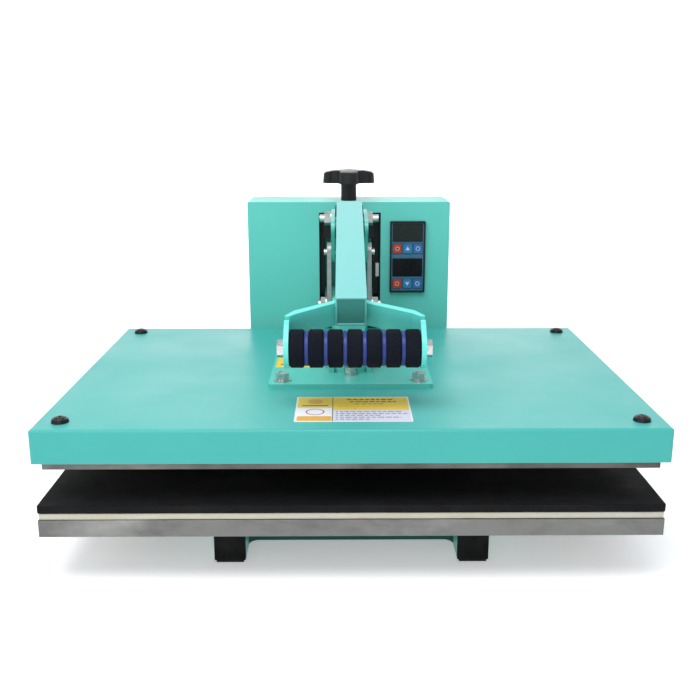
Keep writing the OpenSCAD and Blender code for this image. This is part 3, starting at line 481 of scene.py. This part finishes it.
# foam rings of the grip, with room for the spacers between them
lo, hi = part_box("grip_foam")
grip_at = Vector(((lo.x + hi.x) / 2, (lo.y + hi.y) / 2, (lo.z + hi.z) / 2))
grip_r = (hi.z - lo.z) / 2
core_lo, core_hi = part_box("grip_core")
core_r = (core_hi.z - core_lo.z) / 2
RINGS = 7
SPACER = 4.5 * MM
RING_EDGE = 2.2 * MM
ring_w = (hi.x - lo.x - (RINGS - 1) * SPACER) / RINGS
for i in range(RINGS):
    x0 = lo.x + i * (ring_w + SPACER)
    start, end = x0 + 0.1 * MM, x0 + ring_w - 0.1 * MM
    shoulder = grip_r - RING_EDGE
    prof = [(start, core_r + 0.15 * MM), (start, shoulder)]
    for t in (22, 45, 68, 90):
        a = math.radians(t)
        prof.append((start + RING_EDGE * (1 - math.cos(a)), shoulder + RING_EDGE * math.sin(a)))
    for k in range(1, 8):
        prof.append((x0 + RING_EDGE + (ring_w - 2 * RING_EDGE) * (k / 8), grip_r - 0.05 * MM))
    for t in (90, 68, 45, 22):
        a = math.radians(t)
        prof.append((end - RING_EDGE * (1 - math.cos(a)), shoulder + RING_EDGE * math.sin(a)))
    prof += [(end, shoulder), (end, core_r + 0.15 * MM)]
    ring = lathe_x("foam_ring_%d" % i, grip_at, prof, LOOKS["foam"], "grip", rough=0.35 * MM)
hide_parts("grip_foam")

# ---- welds ----------------------------------------------------------------

tube_lo, tube_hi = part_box("lever_tube")
SLOPE = math.radians(15.6)
half = (tube_hi.x - tube_lo.x) / 2
wide = 2 * half
lever_at = Vector((0, tube_lo.y, tube_lo.z + wide * math.cos(SLOPE)))
along = Vector((0, math.cos(SLOPE), math.sin(SLOPE)))
rise = Vector((0, -math.sin(SLOPE), math.cos(SLOPE)))


def on_lever(x, y, z):
    return lever_at + X * (x * MM) + along * (y * MM) + rise * (z * MM)


SIDES = ((-1, "left"), (1, "right"))
WING_X, WING_TOP, WING_FOOT = 16.3, -14, -31
for s, side in SIDES:
    for tag, y in (("front", 13.6), ("rear", 21.4)):
        bead("weld_wing_%s_%s" % (tag, side), [on_lever(s * WING_X, y, z) for z in (WING_TOP, WING_FOOT)],
             1.3 * MM, LOOKS["mint_paint"], "lever")

# painted shade: a thin dark sheet on the tube's recessed end, inside its rim, not a real part
END_SET_BACK = 1.35
end_half = tube_hi.x - 2.2 * MM
shade = enamel("mint_shaded", mint(0.55, 0.55, 0.55), 0.5, 0.0, 0.2)
sheet_piece("lever_end_shade", (on_lever(0, END_SET_BACK, -16), X * end_half, rise * end_half),
            0.1 * MM, shade, "lever", -along, 0.5 * MM)

plate_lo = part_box("platen_clevis")[0]
pin_lo, pin_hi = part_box("clevis_pin")
pin_y = (pin_lo.y + pin_hi.y) / 2
plate_top = plate_lo.z + 5 * MM
LUG_X, LUG_WELD = 24.6 * MM, 20 * MM
for s, side in SIDES:
    ends = [(s * LUG_X, pin_y + reach, plate_top + 7.2 * MM) for reach in (-LUG_WELD, LUG_WELD)]
    bead("weld_lug_%s" % side, ends[::s], 1.1 * MM, LOOKS["green_paint"], "platen")

inner_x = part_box("rail_right")[0].x - 0.4 * MM
for node, tag in (("cross_front", "front"), ("cross_rear", "rear")):
    lo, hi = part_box(node)
    for s, side in SIDES:
        ends = [(s * inner_x, hi.y + 0.3 * MM, z) for z in (lo.z + 2 * MM, hi.z - 2 * MM)]
        bead("weld_%s_%s" % (tag, side), ends, 1.6 * MM, LOOKS["green_paint"], "base")

# ---- prints on the cover and the bracket ----------------------------------

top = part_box("heater_cover")[1].z + 0.02 * MM


def patch(name, x0, x1, y0, y1, level, look, base=top, body="platen", corner=0.4 * MM):
    centre = Vector(((x0 + x1) / 2, (y0 + y1) / 2, base + level * 0.07 * MM))
    corners = (centre, X * ((x1 - x0) / 2), Y * ((y1 - y0) / 2))
    return sheet_piece(name, corners, 0.06 * MM, look, body, Z, corner)


# the sheet's own frame: u to the right, v from its front edge to its rear edge, in mm
LX, LY = -56.5 * MM, -247.0 * MM
SHEET_W, SHEET_D = 116.5, 80


def label(name, u0, u1, v0, v1, level, look, corner=0.4 * MM):
    patch(name, LX + u0 * MM, LX + u1 * MM, LY + v0 * MM, LY + v1 * MM, level, look,
          corner=corner)


label("label_sheet", 0, SHEET_W, 0, SHEET_D, 0, INK["label_white"], 1.5 * MM)
label("label_block_a", 1.5, 37, 44, 78.5, 1, INK["label_yellow"])
label("label_block_b", 2.5, 36.5, 3, 17, 1, INK["label_orange"], 2 * MM)
label("label_block_c", 38, 115, 36, 78.5, 1, INK["label_yellow"])
label("label_block_d", 38, 115, 1.5, 36, 1, INK["label_lilac"])
label("label_rule", 37, 38, 1.5, 78.5, 1, INK["label_ink"], 0.2 * MM)


def dashes(name, lines, look):
    """Lines of short strokes of uneven length, which stand for print and spell nothing."""
    verts, faces = [], []
    for row, (u0, u1, v, tall) in enumerate(lines):
        u, i = u0, 0
        while u < u1 - 1:
            run = 2.0 + 5.5 * (0.5 + 0.5 * noise.noise(Vector((row * 3.7 + 3.7, i * 1.9, 0.3))))
            end = min(u + run, u1)
            centre = Vector((LX + (u + end) / 2 * MM, LY + (v + tall / 2) * MM, top + 0.14 * MM))
            stroke = (centre, X * ((end - u) / 2 * MM), Y * (tall / 2 * MM))
            more, sides = sheet_mesh(stroke, 0.06 * MM, Z, 0.3 * MM)
            faces += [tuple(k + len(verts) for k in side) for side in sides]
            verts += more
            u += run + 1.5
            i += 1
    return piece(name, verts, faces, look, "platen", smooth=False)


dashes("print_dark", [(52, 102, 69, 3.6), (55, 103, 61.5, 3.0), (60, 92, 55, 1.6)]
       + [(u0, u1, v, 1.8) for u, v in ((108, 30), (112, 24), (86, 18.5), (106, 12.5), (74, 6.5))
          for u0, u1 in ((41, 43), (45, u))], INK["label_ink"])
dashes("print_orange", [(42, 100, 47.5, 1.2)], INK["label_orange"])
ring_icon("label_ring", Vector((LX + 20 * MM, LY + 30.5 * MM, top + 0.08 * MM)), 9.5 * MM, 1.3 * MM,
          X, Y, Z, 0.06 * MM, INK["label_red"], "platen")
label("label_band_a", 6, 33, 49, 52, 2, INK["label_ink"])
label("label_patch_a", 12, 27, 56, 72, 2, INK["label_orange"], 6 * MM)

side_top = plate_lo.z + 5 * MM + 0.02 * MM
patch("side_sheet", -86.5 * MM, -40 * MM, -69 * MM, -8 * MM, 0, INK["label_yellow"],
      base=side_top, corner=1 * MM)
patch("side_bar", -81 * MM, -48 * MM, -58 * MM, -54 * MM, 1, INK["label_ink"], base=side_top)

# ---- icons on the keys and frame lines of the controller ------------------

ICON = 3.0 * MM
ICON_H = 0.12 * MM
for row in ("upper", "lower"):
    for tint, kind in (("red", "ring"), ("pale", "mark"), ("blue", "ring")):
        node = "key_%s_%s" % (tint, row)
        lo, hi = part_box(node)
        at = Vector(((lo.x + hi.x) / 2, lo.y, (lo.z + hi.z) / 2))
        look = INK["icon_warm"] if tint == "red" else INK["icon_pale"]
        if kind == "ring":
            ring_icon("icon_%s_%s" % (tint, row), at, ICON, 0.8 * MM, X, Z, FRONT, ICON_H, look, node)
        else:
            tri = [(-ICON, -2.2 * MM), (ICON, -2.2 * MM), (0, ICON)]
            if row == "lower":
                tri = [(p[0], -p[1]) for p in tri]
            prism("icon_%s_%s" % (tint, row), tri, at, X, Z, FRONT, ICON_H, look, node)

face_lo, face_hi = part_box("controller_panel")
mid_z = (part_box("upper_display")[1].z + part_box("lower_display")[0].z) / 2 - 8 * MM
for tag, z in (("middle", mid_z), ("top", face_hi.z - 1.2 * MM), ("bottom", face_lo.z + 1.2 * MM)):
    sheet_piece("panel_line_%s" % tag, (Vector(((face_lo.x + face_hi.x) / 2, face_lo.y, z)),
                                        X * ((face_hi.x - face_lo.x) / 2 - 1.5 * MM), Z * (0.35 * MM)),
                0.1 * MM, INK["panel_line"], "base", FRONT, 0.2 * MM)

# ---- camera, floor, world and lights --------------------------------------

scene = bpy.context.scene
cam_data = bpy.data.cameras.new("view")
cam_data.lens = 47.1
cam_data.sensor_width = 36
cam_data.clip_start = 0.01
cam = bpy.data.objects.new("view", cam_data)
cam.location = (-0.0085, -1.0894, 0.4495)
cam.rotation_euler = (math.radians(90 - 14.6), 0, math.radians(-0.46))
scene.collection.objects.link(cam)
scene.camera = cam

floor_look = Look("floor_pale", (0.90, 0.90, 0.90), 0.7, specular=0.08)
floor_look.mix_color(floor_look.band(floor_look.noise(1.5, 3), 0.3, 0.7, 0.0, 0.2), (0.88, 0.885, 0.89))
floor_look.bsdf.inputs["Emission Color"].default_value = (1, 1, 1, 1)
floor_look.bsdf.inputs["Emission Strength"].default_value = 0.32
CURVE_Y, CURVE_R = 3.0, 1.5
line = [(-6, 0), (CURVE_Y, 0)]
for t in range(10, 91, 10):
    a = math.radians(t)
    line.append((CURVE_Y + CURVE_R * math.sin(a), CURVE_R - CURVE_R * math.cos(a)))
line.append((CURVE_Y + CURVE_R, 7))
sweep = [Vector((x, y, z)) for x in (-9, 9) for y, z in line]
n = len(sweep) // 2
mesh = bpy.data.meshes.new("floor")
mesh.from_pydata([tuple(v + Vector((0, 0, -0.0005))) for v in sweep], [],
                 [(i, i + n, i + n + 1, i + 1) for i in range(n - 1)])
mesh.polygons.foreach_set("use_smooth", [True] * len(mesh.polygons))
mesh.materials.append(floor_look.mat)
floor = bpy.data.objects.new("floor", mesh)
scene.collection.objects.link(floor)

# a bright, cool sky over the object and a dimmer room in front of it
world = bpy.data.worlds.new("studio")
scene.world = world
world.use_nodes = True
wt = world.node_tree
wc = wt.nodes.new("ShaderNodeTexCoord")
split = wt.nodes.new("ShaderNodeSeparateXYZ")
wt.links.new(wc.outputs["Generated"], split.inputs[0])
up_part = wt.nodes.new("ShaderNodeMapRange")
for i, v in zip((1, 2, 3, 4), (-0.2, 0.9, 0.46, 0.98)):
    up_part.inputs[i].default_value = v
wt.links.new(split.outputs["Z"], up_part.inputs[0])
tone = wt.nodes.new("ShaderNodeMix")
tone.data_type = "RGBA"
wt.links.new(up_part.outputs[0], tone.inputs[0])
tone.inputs[6].default_value = (0.0, 0.0, 0.0, 1)
tone.inputs[7].default_value = (0.93, 0.99, 1.06, 1)
wt.links.new(tone.outputs[2], wt.nodes["Background"].inputs[0])
wt.nodes["Background"].inputs[1].default_value = 0.62
scene.view_settings.view_transform = "Standard"


def area(name, at, to, size, power, depth=None):
    data = bpy.data.lights.new(name, "AREA")
    data.energy = power
    data.size = size
    if depth:
        data.shape = "RECTANGLE"
        data.size_y = depth
    obj = bpy.data.objects.new(name, data)
    obj.location = at
    obj.rotation_euler = (Vector(to) - Vector(at)).to_track_quat("-Z", "Y").to_euler()
    scene.collection.objects.link(obj)


area("softbox_top", (-0.3, -0.75, 1.75), (0, 0.05, 0.15), 1.5, 24, 1.0)
area("softbox_left", (-1.7, -1.2, 1.15), (-0.1, 0.15, 0.25), 0.9, 5)
area("softbox_front", (-0.3, -2.0, 0.9), (0, 0.2, 0.25), 1.0, 5.5)
area("backdrop_wash", (0, 1.6, 2.6), (0, 4.4, 1.2), 4.0, 110, 1.2)
